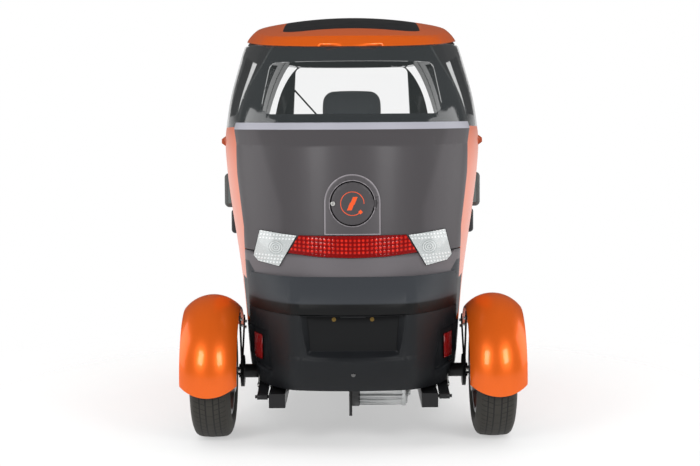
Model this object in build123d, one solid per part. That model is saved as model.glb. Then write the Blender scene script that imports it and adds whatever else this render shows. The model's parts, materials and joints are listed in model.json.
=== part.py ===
from build123d import *
from math import cos, radians, sin, sqrt, tan
import os

# Three-wheeled electric cabin car. Millimetres, X to the right, Y forward, Z up,
# origin on the ground under the middle of the whole car.

# Body
BODY_REAR = -1100
NOSE = 1180
BODY_HALF = 528
SILL_Z = 400
BELT_Z = 1190
EAVE_Z = 1478
ROOF_Z = 1645
WALL = 35
GLASS = 6
PROUD = 5
SEAM = 4
REAR_CORNER_R = 170
FRONT_CORNER_R = 90
WIDEST_Y = -100
CROWN_Y = 300
CROWN_LONG_R = 5000
CROWN_CROSS_R = 1860

# Doors
DOOR_REAR = -350
DOOR_FRONT = 420
DOOR_GAP = 6
DOOR_REAR_GAP = 8
HINGE_OUT = 4
HINGE_PIN_R = 5
HINGE_R = 9

# Chassis
RAIL_X = 280
RAIL_W = 60
RAIL_H = 52
RAIL_Z = 153
FLOOR_T = 20
DECK_Z = 440
DECK_T = 15
RISER_Y = -620

# Rear axle, wheels and fenders
REAR_AXLE_Y = -840
REAR_AXLE_Z = 250
REAR_WHEEL_X = 530
REAR_TYRE_R = 250
REAR_TYRE_W = 150
REAR_RIM_R = 152
AXLE_TUBE_R = 26
SPINDLE_R = 15
RUNNING_FIT = 0.05
TYRE_WALL = 12
BEAD_IN = 14
FENDER_X = 532
FENDER_W = 210
FENDER_R = 293
FENDER_SAG = 50
FENDER_T = 5
FENDER_START = -10
FENDER_END = 149
FENDER_TIP_R = 210

# Front wheel and steering
FRONT_AXLE_Y = 860
FRONT_AXLE_Z = 235
FRONT_TYRE_R = 235
FRONT_TYRE_W = 100
FRONT_RIM_R = 127
RAKE = 20
STEER_GROUND_Y = 920
FORK_X = 76
FORK_LEG_R = 18
CROWN_Z = 517
HEAD_LOW = 585
HEAD_HIGH = 740
BAR_Z = 980
BAR_HALF = 300
FRONT_AXLE_R = 10
STEM_R = 15
HEAD_TUBE_R = 28
MUDGUARD_R = 266
MUDGUARD_W = 112
WELL_HALF = 235
WELL_BACK = 540
WELL_TOP = 572
WELL_T = 5

# Rear details
BUMPER_T = 6
BUMPER_FRONT = -860
BUMPER_FLAT = 215
BUMPER_CORNER_R = 90
PLATE_FLOOR_Y = -1128
PLATE_TOP = 502
NICHE_DEPTH = 14
LEDGE_OUT = 9
PORT_Z = 901
PORT_R = 77
PORT_GAP = 5
PORT_HALF = 102
PORT_LOW = 788
PORT_HINGE_X = 84
PORT_PIN_R = 1.5

# Door hardware
HINGE_HEIGHTS = (575, 930)
HANDLE_Z = 1115

# Motor and springs
MOTOR_Y = -970
MOTOR_Z = 235
MOTOR_R = 92
MOTOR_X0 = 22
MOTOR_X1 = 200
MOTOR_RIBS = 24
SPRING_X = 334
SPRING_W = 38
SPRING_T = 12
SPRING_HALF = 225
SPRING_CAMBER = 26

# Seat
SEAT_Z = 500
SEAT_BACK_Y = -375

MADE = {}


def block(x0, x1, y0, y1, z0, z1):
    centre = Pos((x0 + x1) / 2, (y0 + y1) / 2, (z0 + z1) / 2)
    return centre * Box(x1 - x0, y1 - y0, z1 - z0)


def side_outline(points, x0, x1):
    """Prism along X over an outline of (y, z) points."""
    wire = Wire.make_polygon([(x0, y, z) for y, z in points], close=True)
    return extrude(Face(wire), amount=x1 - x0, dir=(1, 0, 0))


def rear_outline(points, y0, y1, corner=0):
    """Prism along Y over an outline of (x, z) points, with its corners rounded."""
    face = Face(Wire.make_polygon([(x, y0, z) for x, z in points], close=True))
    if corner:
        face = face.fillet_2d(corner, face.vertices())
    return extrude(face, amount=y1 - y0, dir=(0, 1, 0))


def rod(start, end, radius, bore=0):
    along = Vector(*end) - Vector(*start)
    plane = Plane(origin=start, z_dir=along)
    shape = extrude(plane * Circle(radius), amount=along.length)
    if bore:
        shape -= extrude(plane * Circle(bore), amount=along.length)
    return shape


def turned(points, y, z, angle=360):
    """Solid turned about an axle along X, from (x, radius) points."""
    face = Face(Wire.make_polygon([(x, 0, r) for x, r in points], close=True))
    return Pos(0, y, z) * revolve(face, Axis.X, angle)


def mirrored(shape):
    return mirror(shape, about=Plane.YZ)


def save(name, *shapes):
    solids = [solid for shape in shapes for solid in shape.solids()]
    MADE[name] = solids
    export_step(solids[0] if len(solids) == 1 else Compound(children=solids), f"parts/{name}.step")


def save_pair(name, shape):
    save(name + "_right", shape)
    save(name + "_left", mirrored(shape))


def both(shape):
    """The solids of a right-hand piece and of its twin on the left."""
    return shape.solids() + mirrored(shape).solids()


# Plan outlines of the body, one row per height. Columns: height, how far the tail is
# ahead of BODY_REAR, the inset of the rear corner from BODY_HALF, the bulge of the
# tail, the inset at the widest place, the inset of the front corner, the bulge of
# the nose and how far the nose is behind NOSE.
CABIN_RISE = ROOF_Z - BELT_Z
BODY_LEVELS = [
    (60, 60, 188, 200, 100, 240, 140, 150),
    (240, 40, 168, 210, 90, 215, 145, 75),
    (420, 20, 150, 225, 78, 205, 150, 25),
    (640, 5, 130, 240, 54, 185, 165, 0),
    (800, 18, 118, 245, 27, 175, 165, 45),
    (950, 38, 104, 250, 8, 168, 160, 170),
    (BELT_Z - 60, 65, 92, 255, 0, 166, 160, 295),
    (BELT_Z, 80, 92, 255, 8, 168, 155, 335),
    (BELT_Z + 0.31 * CABIN_RISE, 160, 126, 240, 30, 183, 145, 440),
    (EAVE_Z, 255, 166, 220, 72, 210, 130, 580),
    (EAVE_Z + 62, 300, 200, 195, 103, 238, 110, 680),
    (EAVE_Z + 114, 400, 266, 140, 168, 288, 80, 780),
    (ROOF_Z + 5, 460, 288, 120, 208, 308, 70, 880),
]


def body_outline(level, inset):
    z, tail, rear_in, rear_bulge, side_in, front_in, front_bulge, nose = level
    rear_y = BODY_REAR + tail + inset
    front_y = NOSE - nose - inset
    rear_x = BODY_HALF - rear_in - inset
    side_x = BODY_HALF - side_in - inset
    front_x = BODY_HALF - front_in - inset
    ring = [
        (rear_x, rear_y + rear_bulge), (side_x, WIDEST_Y), (front_x, front_y - front_bulge),
        (0, front_y), (-front_x, front_y - front_bulge), (-side_x, WIDEST_Y),
        (-rear_x, rear_y + rear_bulge), (0, rear_y),
    ]
    arcs = [ThreePointArc(ring[i], ring[i + 1], ring[(i + 2) % 8]) for i in (0, 2, 4, 6)]
    face = make_face(arcs)
    face = fillet(face.vertices().filter_by(lambda v: v.Y < WIDEST_Y), REAR_CORNER_R - inset)
    corners = face.vertices().filter_by(lambda v: abs(v.Y - (front_y - front_bulge)) < 0.01)
    face = fillet(corners, FRONT_CORNER_R - inset)
    return Pos(0, 0, z) * face.face()


def crown(inset):
    """Barrel that rounds the roof along and across the car."""
    ends = 1600
    drop = CROWN_LONG_R - sqrt(CROWN_LONG_R ** 2 - ends ** 2)
    top = ROOF_Z - inset
    middle = ROOF_Z - CROWN_CROSS_R
    arc = ThreePointArc((0, CROWN_Y - ends, top - drop), (0, CROWN_Y, top), (0, CROWN_Y + ends, top - drop))
    rest = Polyline((0, CROWN_Y + ends, top - drop), (0, CROWN_Y + ends, middle),
                    (0, CROWN_Y - ends, middle), (0, CROWN_Y - ends, top - drop))
    return revolve(make_face([arc] + list(rest.edges())), Axis((0, 0, middle), (0, 1, 0)))


ENVELOPES = {}


def envelope(inset):
    """Whole body at a distance inside its outer skin."""
    if inset not in ENVELOPES:
        wires = [body_outline(level, inset).outer_wire() for level in BODY_LEVELS]
        ENVELOPES[inset] = Part() + (Solid.make_loft(wires, False) & crown(inset))
    return ENVELOPES[inset]


# Lines seen from the side, as (y, z) points from tail to nose
FAR = 1500
BELT_LINE = [(-FAR, BELT_Z - 2), (-420, BELT_Z - 18), (420, BELT_Z - 205), (960, BELT_Z - 300), (FAR, BELT_Z - 340)]
ROOF_LINE = [(-FAR, EAVE_Z), (-830, EAVE_Z), (-300, EAVE_Z + 44), (300, EAVE_Z + 52), (620, EAVE_Z), (FAR, EAVE_Z)]
SKIRT_LINE = [(-FAR, 600), (-640, 600), (-540, SILL_Z), (FAR, SILL_Z)]
TAIL_LINE = [(-760, FAR), (-760, 1000), (-790, 900), (-825, 800), (-812, 730), (-790, 600), (-790, 0)]
BUMPER_END = [(-870, 600), (-905, 640), (-868, 676), (-700, 676), (-700, 600)]


def between(low, high, x0=-FAR, x1=FAR):
    """Prism between two side lines."""
    return side_outline(low + high[::-1], x0, x1)


def flat_line(z):
    return [(-FAR, z), (FAR, z)]


WALLS = {}


def shell(outer, inner, region):
    """Piece of the body's wall between two depths."""
    if (outer, inner) not in WALLS:
        WALLS[outer, inner] = envelope(outer) - envelope(inner)
    return WALLS[outer, inner] & region


PLACES = {}


def skin(x, y, z, inset=0):
    """Box of the small piece of the body at a place; None leaves that way open."""
    spans = [(v - 0.5, v + 0.5) if v is not None else (0, FAR) for v in (x, y, z)]
    if y is None:
        spans[1] = (-FAR, 0)
    key = (x, y, z, inset)
    if key not in PLACES:
        PLACES[key] = (envelope(inset) & block(*spans[0], *spans[1], *spans[2])).bounding_box()
    return PLACES[key]


def half_at(y, z):
    return skin(None, y, z).max.X


def tail_at(x, z, inset=0):
    return skin(x, None, z, inset).min.Y


def tail_region(x0=-FAR, x1=FAR):
    return side_outline([(-FAR, 0), (-FAR, FAR)] + TAIL_LINE, x0, x1)


def lamp_cut(points):
    """Lamp outline of (x, z) points, through the tail's wall."""
    return rear_outline(points, -1300, -700)


LIGHT_BAR = [(-196, 784), (196, 785), (236, 719), (120, 708), (0, 705), (-120, 708), (-236, 719)]
LAMP = [(205, 783), (345, 797), (371, 700), (352, 682), (271, 669)]

APRON_TOP = 715


def rear_body():
    """Grey tail: upper panel, apron, lamps and charging port."""
    wall = shell(0, WALL, tail_region() & between(SKIRT_LINE, BELT_LINE))
    bar_cut = lamp_cut(LIGHT_BAR)
    lamp_cuts = lamp_cut(LAMP) + mirrored(lamp_cut(LAMP))
    socket_hole = rod((0, -1200, PORT_Z), (0, -900, PORT_Z), PORT_R + PORT_GAP)
    wall = wall - bar_cut - lamp_cuts
    upper = between(flat_line(APRON_TOP + SEAM), BELT_LINE)
    lower = between(SKIRT_LINE, flat_line(APRON_TOP))
    pocket = rod(port_hinge(-22), port_hinge(22), 5)
    save("rear_panel", (wall & upper) - socket_hole - pocket + belt_ledge())
    save("rear_apron", (wall & lower) - bumper_corners())
    save("tail_light_bar", shell(-PROUD, WALL, bar_cut))
    save("tail_lamps", shell(-PROUD, WALL, lamp_cuts))

    arch = block(-PORT_HALF, PORT_HALF, -1200, -900, PORT_LOW, PORT_Z + 4)
    arch += rod((0, -1200, PORT_Z + 4), (0, -900, PORT_Z + 4), PORT_HALF)
    save("charge_port_surround", (shell(-PROUD, 0, arch) - socket_hole - pocket) + charge_flap())


def level_at(z):
    """Row of BODY_LEVELS at any height, by straight steps between its neighbours."""
    above = next(i for i, row in enumerate(BODY_LEVELS) if row[0] >= z)
    low, high = BODY_LEVELS[above - 1], BODY_LEVELS[above]
    share = (z - low[0]) / (high[0] - low[0])
    return tuple(a + share * (b - a) for a, b in zip(low, high))


def belt_ledge():
    """Crease under the rear glass, where the grey panel turns in as a sloping ledge."""
    rows = [(BELT_Z - 72, 0.5), (BELT_Z - 34, -LEDGE_OUT), (BELT_Z - 2, 1)]
    wires = [body_outline(level_at(z), inset).outer_wire() for z, inset in rows]
    ring = Part() + Solid.make_loft(wires, True)
    return (ring - envelope(0)) & tail_region() & between(flat_line(0), BELT_LINE)


def bumper_corners():
    """Ends of the apron that belong to the bumper and rise beside the lamps."""
    return shell(0, WALL, side_outline(BUMPER_END, -FAR, FAR) & tail_region())


def port_hinge(up):
    """Place on the flap's hinge axis, at a height above the port's middle."""
    return (PORT_HINGE_X, tail_at(PORT_HINGE_X, PORT_Z, -PROUD), PORT_Z + up)


def charge_flap():
    """Round flap on a pin at its right edge; gives back the pin and its ears."""
    flap = rod((0, -1200, PORT_Z), (0, -900, PORT_Z), PORT_R)
    leaf = shell(-PROUD, 0, flap)
    knuckle = rod(port_hinge(-12), port_hinge(12), 3.5)
    x, y, z = port_hinge(0)
    arm = block(PORT_R - 8, x, y - 1, y + 2, z - 12, z + 12)
    pin = rod(port_hinge(-22), port_hinge(22), PORT_PIN_R)
    save("charge_flap", leaf + arm + knuckle - rod(port_hinge(-13), port_hinge(13), PORT_PIN_R + RUNNING_FIT))
    ears = rod(port_hinge(-22), port_hinge(-13), 5) + rod(port_hinge(13), port_hinge(22), 5)
    return pin + ears


def charge_socket():
    face_y = tail_at(0, PORT_Z, WALL)
    cup = rod((0, face_y - 8, PORT_Z), (0, -980, PORT_Z), PORT_R + PORT_GAP - 0.3)
    save("charge_socket", shell(0, WALL, cup) + rod((0, face_y - 24, PORT_Z), (0, face_y, PORT_Z), 28))


def hinge_x():
    return max(half_at(DOOR_FRONT + 3, z) for z in range(650, 1101, 50)) + HINGE_OUT


def hinge_room():
    """Room around the hinges, cut from the door and from the panel ahead of it."""
    x, y = hinge_x(), DOOR_FRONT + DOOR_GAP / 2
    room = Part()
    for z in HINGE_HEIGHTS:
        room += rod((x, y, z - 32), (x, y, z + 32), HINGE_R + 3)
    return room


def body_sides():
    """Orange side panels behind the doors, and the nose ahead of them."""
    band = between(SKIRT_LINE, BELT_LINE)
    behind = block(0, FAR, -FAR, DOOR_REAR - DOOR_REAR_GAP, 0, FAR) - tail_region()
    save("side_panels", *both(shell(0, WALL, band & behind) - lamp_cut(LAMP)))
    ahead = block(-FAR, FAR, DOOR_FRONT + DOOR_GAP, FAR, 0, FAR)
    nose = shell(0, WALL, band & ahead)
    nose -= block(-WELL_HALF, WELL_HALF, 700, FAR, 0, WELL_TOP)
    save("nose_panel", nose - hinge_room() - mirrored(hinge_room()))


def rockers():
    """Black lower cladding from the rear wheel to the front arch."""
    band = between(flat_line(225), [(-FAR, SILL_Z), (FAR, SILL_Z)])
    region = band & block(WELL_HALF, FAR, -560, FAR, 0, FAR)
    save("rockers", *both(shell(0, WALL, region)))


def cabin():
    """Black frames behind the glass, with their windows cut."""
    zone = between(BELT_LINE, ROOF_LINE)
    rear = block(-FAR, FAR, -FAR, DOOR_REAR - DOOR_REAR_GAP, 0, FAR)
    front = block(-FAR, FAR, DOOR_FRONT + DOOR_GAP, FAR, 0, FAR)
    back_window = rear_outline([(-346, 1226), (346, 1226), (312, 1422), (-312, 1422)], -FAR, -560, 35)
    quarter = [(-430, 1215), (-690, 1225), (-650, 1420), (-430, 1455)]
    rear_frame = shell(GLASS, WALL, zone & rear) - back_window - side_outline(quarter, -FAR, FAR)
    save("cabin_frame_rear", rear_frame)
    screen = rear_outline([(-300, 935), (300, 935), (262, 1440), (-262, 1440)], 500, FAR, 30)
    light = [(470, 1020), (720, 965), (560, 1440), (470, 1450)]
    front_frame = shell(GLASS, WALL, zone & front) - screen - side_outline(light, -FAR, FAR)
    save("cabin_frame_front", front_frame)

    pillar_y = -700
    back = block(-FAR, FAR, -FAR, pillar_y - 1, 0, FAR)
    save("rear_glass", shell(0, GLASS, zone & back))
    quarter_zone = block(0, FAR, pillar_y + 1, DOOR_REAR - DOOR_REAR_GAP, 0, FAR)
    save("quarter_glass", *both(shell(0, GLASS, zone & quarter_zone)))
    save("windscreen", shell(0, GLASS, zone & front))


def roof():
    """Orange roof with a black glossy panel let into its top."""
    zone = between(ROOF_LINE, flat_line(1800))
    whole = shell(0, WALL, zone)
    panel_cut = block(-270, 270, -640, 330, 1500, 1800)
    panel_cut = fillet(panel_cut.edges().filter_by(Axis.Z), 90)
    save("roof_panel", shell(0, GLASS, zone & panel_cut))
    save("roof", whole - (shell(0, GLASS, zone & panel_cut)))


def doors():
    """Front-hinged doors: skin below the belt, frame and glass above it."""
    roof_gap = [(y, z - DOOR_GAP) for y, z in ROOF_LINE]
    leaf = block(0, FAR, DOOR_REAR, DOOR_FRONT, SILL_Z + DOOR_GAP, FAR) & between(flat_line(0), roof_gap)
    window = side_outline([(-300, 1210), (370, 1040), (370, 1445), (-300, 1455)], 0, FAR)
    below = between(flat_line(0), BELT_LINE)
    above = between(BELT_LINE, flat_line(FAR + 100))
    save_pair("door_panel", shell(0, WALL, leaf & below) - hinge_room())
    save_pair("door_frame", shell(GLASS, WALL, leaf & above) - window)
    save_pair("door_glass", shell(0, GLASS, leaf & above))


# Rear bumper from its lower edge to the apron. Columns: height, half width at its
# front end, reach behind BODY_REAR. The lip, the groove and the shelf's crease are rows.
BUMPER_LEVELS = [
    (222, 366, 22), (262, 378, 52), (300, 387, 70), (336, 392, 80), (352, 391, 71), (430, 391, 70),
    (503, 391, 70), (505, 388, 66.5), (507, 391, 70), (548, 394, 82), (600, 393, 36), (636, 392, 2),
]


def bumper_solid(shrink):
    """Rear bumper block, drawn in by a distance."""
    wires = []
    for z, half, reach in BUMPER_LEVELS:
        rear = BODY_REAR - reach + shrink
        half -= shrink
        flat = BUMPER_FLAT - shrink / 2
        turn = rear + 24
        side = Vector((flat + half) / 2 + 20, (turn + BUMPER_FRONT) / 2 - 14)
        edges = [
            ThreePointArc((-flat, turn), (0, rear), (flat, turn)),
            ThreePointArc((flat, turn), (side.X, side.Y), (half, BUMPER_FRONT)),
            ThreePointArc((-half, BUMPER_FRONT), (-side.X, side.Y), (-flat, turn)),
            Line((half, BUMPER_FRONT), (-half, BUMPER_FRONT)),
        ]
        face = make_face(edges)
        corners = face.vertices().filter_by(lambda v: abs(v.Y - turn) < 0.01)
        face = fillet(corners, BUMPER_CORNER_R - shrink)
        wires.append((Pos(0, 0, z) * face.face()).outer_wire())
    return Part() + Solid.make_loft(wires, True)


def plate_pocket(grow):
    """Room for the number plate, with sides that open towards the rear."""
    sections = []
    for y, top_half, low_half, low in ((PLATE_FLOOR_Y + grow, 163, 154, 374), (-1230, 294, 207, 318)):
        points = [(-top_half - grow, PLATE_TOP + grow), (top_half + grow, PLATE_TOP + grow),
                  (low_half + grow, low - grow), (-low_half - grow, low - grow)]
        sections.append(Wire.make_polygon([(x, y, z) for x, z in points], close=True))
    return Part() + Solid.make_loft(sections, True)


def bumper():
    """Black rear bumper with its plate recess and its reflectors in niches."""
    full = bumper_solid(0)
    niche = rear_outline([(318, 432), (420, 442), (420, 316), (330, 288), (300, 284)], -1250, -870)
    edge = rear_outline([(311, 438), (420, 449), (420, 309), (330, 281), (286, 277)], -1250, -864)
    niches, edges = niche + mirrored(niche), edge + mirrored(edge)
    floor_face = bumper_solid(NICHE_DEPTH)
    cover = full - bumper_solid(BUMPER_T)
    cover += (full & edges) - bumper_solid(NICHE_DEPTH + BUMPER_T)
    cover -= niches - floor_face
    cover = (cover - plate_pocket(0)) + ((full & plate_pocket(BUMPER_T)) - plate_pocket(0))
    cover = cover - envelope(0)
    axle_room = rod((-FAR, REAR_AXLE_Y, REAR_AXLE_Z), (FAR, REAR_AXLE_Y, REAR_AXLE_Z), 80)
    save("rear_bumper", cover - axle_room, bumper_corners())
    slot = rear_outline([(337, 319), (371, 319), (371, 409), (337, 409)], -1200, -860)
    lens = (bumper_solid(NICHE_DEPTH - 7) - floor_face) & (slot + mirrored(slot))
    save("rear_reflectors", lens)


def chassis():
    """Ladder frame with its cross members and head frame."""
    rails = []
    for side in (-1, 1):
        x = side * RAIL_X
        rails.append(block(x - RAIL_W / 2, x + RAIL_W / 2, -1080, WELL_BACK, RAIL_Z, RAIL_Z + RAIL_H))
    cross = RAIL_X - RAIL_W / 2
    for y in (-720, -560, 0, 510):
        rails.append(block(-cross, cross, y - 20, y + 20, RAIL_Z + 6, RAIL_Z + RAIL_H))
    frame = rails[0]
    for piece in rails[1:]:
        frame += piece
    frame += head_frame()
    save("frame", frame)
    return frame


def steer_y(z):
    return STEER_GROUND_Y - z * tan(radians(RAKE))


def on_steer(z):
    return (0, steer_y(z), z)


def head_frame():
    """Posts and plates that carry the head tube over the wheel well."""
    tube = rod(on_steer(HEAD_LOW), on_steer(HEAD_HIGH), HEAD_TUBE_R)
    posts = None
    for side in (-1, 1):
        x = side * (WELL_HALF + WELL_T + 25)
        post = block(x - 15, x + 15, 500, 530, RAIL_Z + RAIL_H, 660)
        plate = block(side * 20 - 3, side * 20 + 3, 520, 680, 620, 660)
        posts = post + plate if posts is None else posts + post + plate
    beam = block(-WELL_HALF - 20, WELL_HALF + 20, 500, 530, 620, 660)
    bore = rod(on_steer(HEAD_LOW - 5), on_steer(HEAD_HIGH + 5), STEM_R + RUNNING_FIT)
    return posts + beam + tube - bore


def floor(frame):
    """Floor pan, rear deck, riser and the well over the front wheel."""
    inside = envelope(WALL)
    base = RAIL_Z + RAIL_H
    pan = inside & block(-FAR, FAR, RISER_Y, 1000, base, base + FLOOR_T)
    notch = block(-WELL_HALF - WELL_T, WELL_HALF + WELL_T, WELL_BACK - WELL_T, FAR, 0, 400)
    riser = inside & block(-FAR, FAR, RISER_Y, RISER_Y + 10, base + FLOOR_T, DECK_Z)
    save("floor_pan", (pan - notch - frame) + riser)
    deck = inside & block(-FAR, FAR, -FAR, RISER_Y + 10, DECK_Z, DECK_Z + DECK_T)
    wall = shell(0, WALL, block(-FAR, FAR, -FAR, RISER_Y + 10, DECK_Z, FAR) & between(flat_line(0), SKIRT_LINE))
    save("luggage_tub", deck + wall)

    def well_outline(grow):
        back = WELL_BACK - grow
        top = WELL_TOP + grow
        bend = 245 + grow
        arc = ThreePointArc((0, back, top - bend),
                            (0, back + bend * (1 - sqrt(0.5)), top - bend * (1 - sqrt(0.5))),
                            (0, back + bend, top))
        line = Polyline((0, back + bend, top), (0, FAR, top), (0, FAR, 205), (0, back, 205), (0, back, top - bend))
        half = WELL_HALF + grow
        face = make_face([arc] + list(line.edges()))
        return Pos(-half, 0, 0) * extrude(face, amount=2 * half, dir=(1, 0, 0))

    well = (well_outline(WELL_T) - well_outline(0)) & envelope(WALL)
    stem_hole = rod(on_steer(WELL_TOP - 40), on_steer(WELL_TOP + 40), 45)
    save("front_wheel_well", well - stem_hole)


def tyre(x, y, z, radius, width, rim_radius):
    """Hollow tyre: straight beads on the rim, bulged walls, round shoulders and crown."""
    half = width / 2
    middle = rim_radius + 0.5 * (radius - rim_radius)

    def section(inset):
        bead, wall, top = half - BEAD_IN - inset, half - inset, radius - inset
        low = rim_radius - (1 if inset else 0)
        heel, shoulder, tread = (bead, rim_radius + 14), (wall - 6, top - 25), (wall - 32, top - 3)
        right = [
            Line((bead, low), heel),
            ThreePointArc(heel, (wall, middle), shoulder),
            ThreePointArc(shoulder, (wall - 15, top - 10), tread),
        ]
        left = [mirror(edge, about=Plane.YZ) for edge in right]
        crown_arc = ThreePointArc(tread, (0, top), (-tread[0], tread[1]))
        flat = make_face(right + left + [crown_arc, Line((bead, low), (-bead, low))])
        return Plane.XZ * flat.face()

    ring = revolve(section(0), Axis.X) - revolve(section(TYRE_WALL), Axis.X)
    return Pos(x, y, z) * ring


def rim_barrel(width, rim_radius):
    """Rim between a tyre's beads, with a flange outside each."""
    bead = width / 2 - BEAD_IN
    right = [(bead, rim_radius), (bead, rim_radius + 12), (bead + 5, rim_radius + 12), (bead + 5, rim_radius - 7)]
    return right + [(-a, r) for a, r in right[::-1]]


def rear_wheels():
    for side, name in ((1, "right"), (-1, "left")):
        x = side * REAR_WHEEL_X
        save("rear_tyre_" + name, tyre(x, REAR_AXLE_Y, REAR_AXLE_Z, REAR_TYRE_R, REAR_TYRE_W, REAR_RIM_R))
        rim = turned(rim_barrel(REAR_TYRE_W, REAR_RIM_R), REAR_AXLE_Y, REAR_AXLE_Z)
        disc = turned([(10, SPINDLE_R + RUNNING_FIT), (40, SPINDLE_R + RUNNING_FIT), (40, 45),
                       (30, 60), (30, REAR_RIM_R - 5), (20, REAR_RIM_R - 5), (20, 60), (10, 60)],
                      REAR_AXLE_Y, REAR_AXLE_Z)
        holes = PolarLocations(105, 10)
        for place in holes:
            centre = place.position
            start = (0, REAR_AXLE_Y + centre.X, REAR_AXLE_Z + centre.Y)
            end = (60, REAR_AXLE_Y + centre.X, REAR_AXLE_Z + centre.Y)
            disc -= rod(start, end, 19)
        hub = turned([(-80, SPINDLE_R + RUNNING_FIT), (10, SPINDLE_R + RUNNING_FIT), (10, 58), (-40, 58),
                      (-40, 80), (-80, 80)], REAR_AXLE_Y, REAR_AXLE_Z)
        wheel = rim + disc + hub
        if side < 0:
            wheel = mirrored(wheel)
        save("rear_rim_" + name, Pos(x, 0, 0) * wheel)


def fenders():
    """Crowned cycle fenders and the arms that carry them from the axle."""
    half = FENDER_W / 2
    bend = (half ** 2 + FENDER_SAG ** 2) / (2 * FENDER_SAG)
    inner = bend - FENDER_T
    middle = FENDER_R - bend
    low = middle + sqrt(inner ** 2 - half ** 2)
    edge = FENDER_R - FENDER_SAG
    outer_arc = ThreePointArc((-half, 0, edge), (0, 0, FENDER_R), (half, 0, edge))
    inner_arc = ThreePointArc((-half, 0, low), (0, 0, middle + inner), (half, 0, low))
    ends = [Line((s * half, 0, low), (s * half, 0, edge)) for s in (-1, 1)]
    section = Rot(90 - FENDER_END, 0, 0) * make_face([outer_arc, inner_arc] + ends)
    shape = revolve(section, Axis.X, FENDER_END - FENDER_START)
    for end, side in ((FENDER_START, 1), (FENDER_END, -1)):
        tip = block(-half - 9, half + 9, -FENDER_R - 9, -edge + 60, min(-5, side * 60), max(5, side * 60))
        tip -= rod((0, -FENDER_R - 9, side * FENDER_TIP_R), (0, 60 - edge, side * FENDER_TIP_R), FENDER_TIP_R)
        shape -= Rot(-end, 0, 0) * tip
    save_pair("rear_fender", Pos(FENDER_X, REAR_AXLE_Y, REAR_AXLE_Z) * shape)

    inner_x = FENDER_X - half
    arms = turned([(inner_x - 12, AXLE_TUBE_R), (inner_x, AXLE_TUBE_R), (inner_x, 60), (inner_x - 12, 60)], 0, 0)
    for angle in (10, 70, 130):
        arm = block(inner_x - 5, inner_x, -15, 15, 50, edge)
        arms += Rot(90 - angle, 0, 0) * arm
    arms = Pos(0, REAR_AXLE_Y, REAR_AXLE_Z) * arms
    return arms + mirrored(arms)


def rear_axle():
    """Beam axle with its fender arms and gear case, motor and leaf springs."""
    inner_x = FENDER_X - FENDER_W / 2
    y, z = REAR_AXLE_Y, REAR_AXLE_Z
    axle = rod((-inner_x - 8, y, z), (inner_x + 8, y, z), AXLE_TUBE_R)
    axle += rod((-REAR_WHEEL_X - 38, y, z), (REAR_WHEEL_X + 38, y, z), SPINDLE_R)
    axle += rod((-62, y, z), (22, y, z), 68)
    save("rear_axle", axle + fenders())

    case = rod((-5, MOTOR_Y, MOTOR_Z), (MOTOR_X0, MOTOR_Y, MOTOR_Z), MOTOR_R + 4)
    body = rod((MOTOR_X0, MOTOR_Y, MOTOR_Z), (MOTOR_X1, MOTOR_Y, MOTOR_Z), MOTOR_R - 8)
    rib = block(MOTOR_X0, MOTOR_X1 - 22, -2.5, 2.5, MOTOR_R - 12, MOTOR_R)
    body += [Pos(0, MOTOR_Y, MOTOR_Z) * Rot(360 / MOTOR_RIBS * i, 0, 0) * rib for i in range(MOTOR_RIBS)]
    body += rod((MOTOR_X1 - 22, MOTOR_Y, MOTOR_Z), (MOTOR_X1 - 6, MOTOR_Y, MOTOR_Z), MOTOR_R + 3)
    body += rod((MOTOR_X1 - 6, MOTOR_Y, MOTOR_Z), (MOTOR_X1 + 12, MOTOR_Y, MOTOR_Z), 58)
    hanger = block(-16, -5, MOTOR_Y - 30, MOTOR_Y + 30, 106, RAIL_Z + RAIL_H + 100)
    save("drive_motor", (case + body + hanger) - rod((-400, y, z), (400, y, z), 68))

    springs = []
    for side in (1, -1):
        x = side * SPRING_X
        mid = z - AXLE_TUBE_R - SPRING_T
        end = mid - SPRING_CAMBER
        top = ThreePointArc((x, y - SPRING_HALF, end + SPRING_T), (x, y, mid + SPRING_T), (x, y + SPRING_HALF, end + SPRING_T))
        low = ThreePointArc((x, y - SPRING_HALF, end), (x, y, mid), (x, y + SPRING_HALF, end))
        sides = [Line((x, y + s * SPRING_HALF, end), (x, y + s * SPRING_HALF, end + SPRING_T)) for s in (-1, 1)]
        leaf = Pos(-SPRING_W / 2, 0, 0) * extrude(make_face([top, low] + sides), amount=SPRING_W, dir=(1, 0, 0))
        inner = side * (RAIL_X + RAIL_W / 2)
        outer = side * (SPRING_X + SPRING_W / 2)
        for s in (-1, 1):
            eye_y = y + s * SPRING_HALF
            leaf += rod((x - SPRING_W / 2, eye_y, end + 7), (x + SPRING_W / 2, eye_y, end + 7), 11)
            leaf += rod((inner, eye_y, end + 7), (outer + side * 8, eye_y, end + 7), 6)
        springs.append(leaf)
    save("leaf_springs", *springs)


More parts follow.
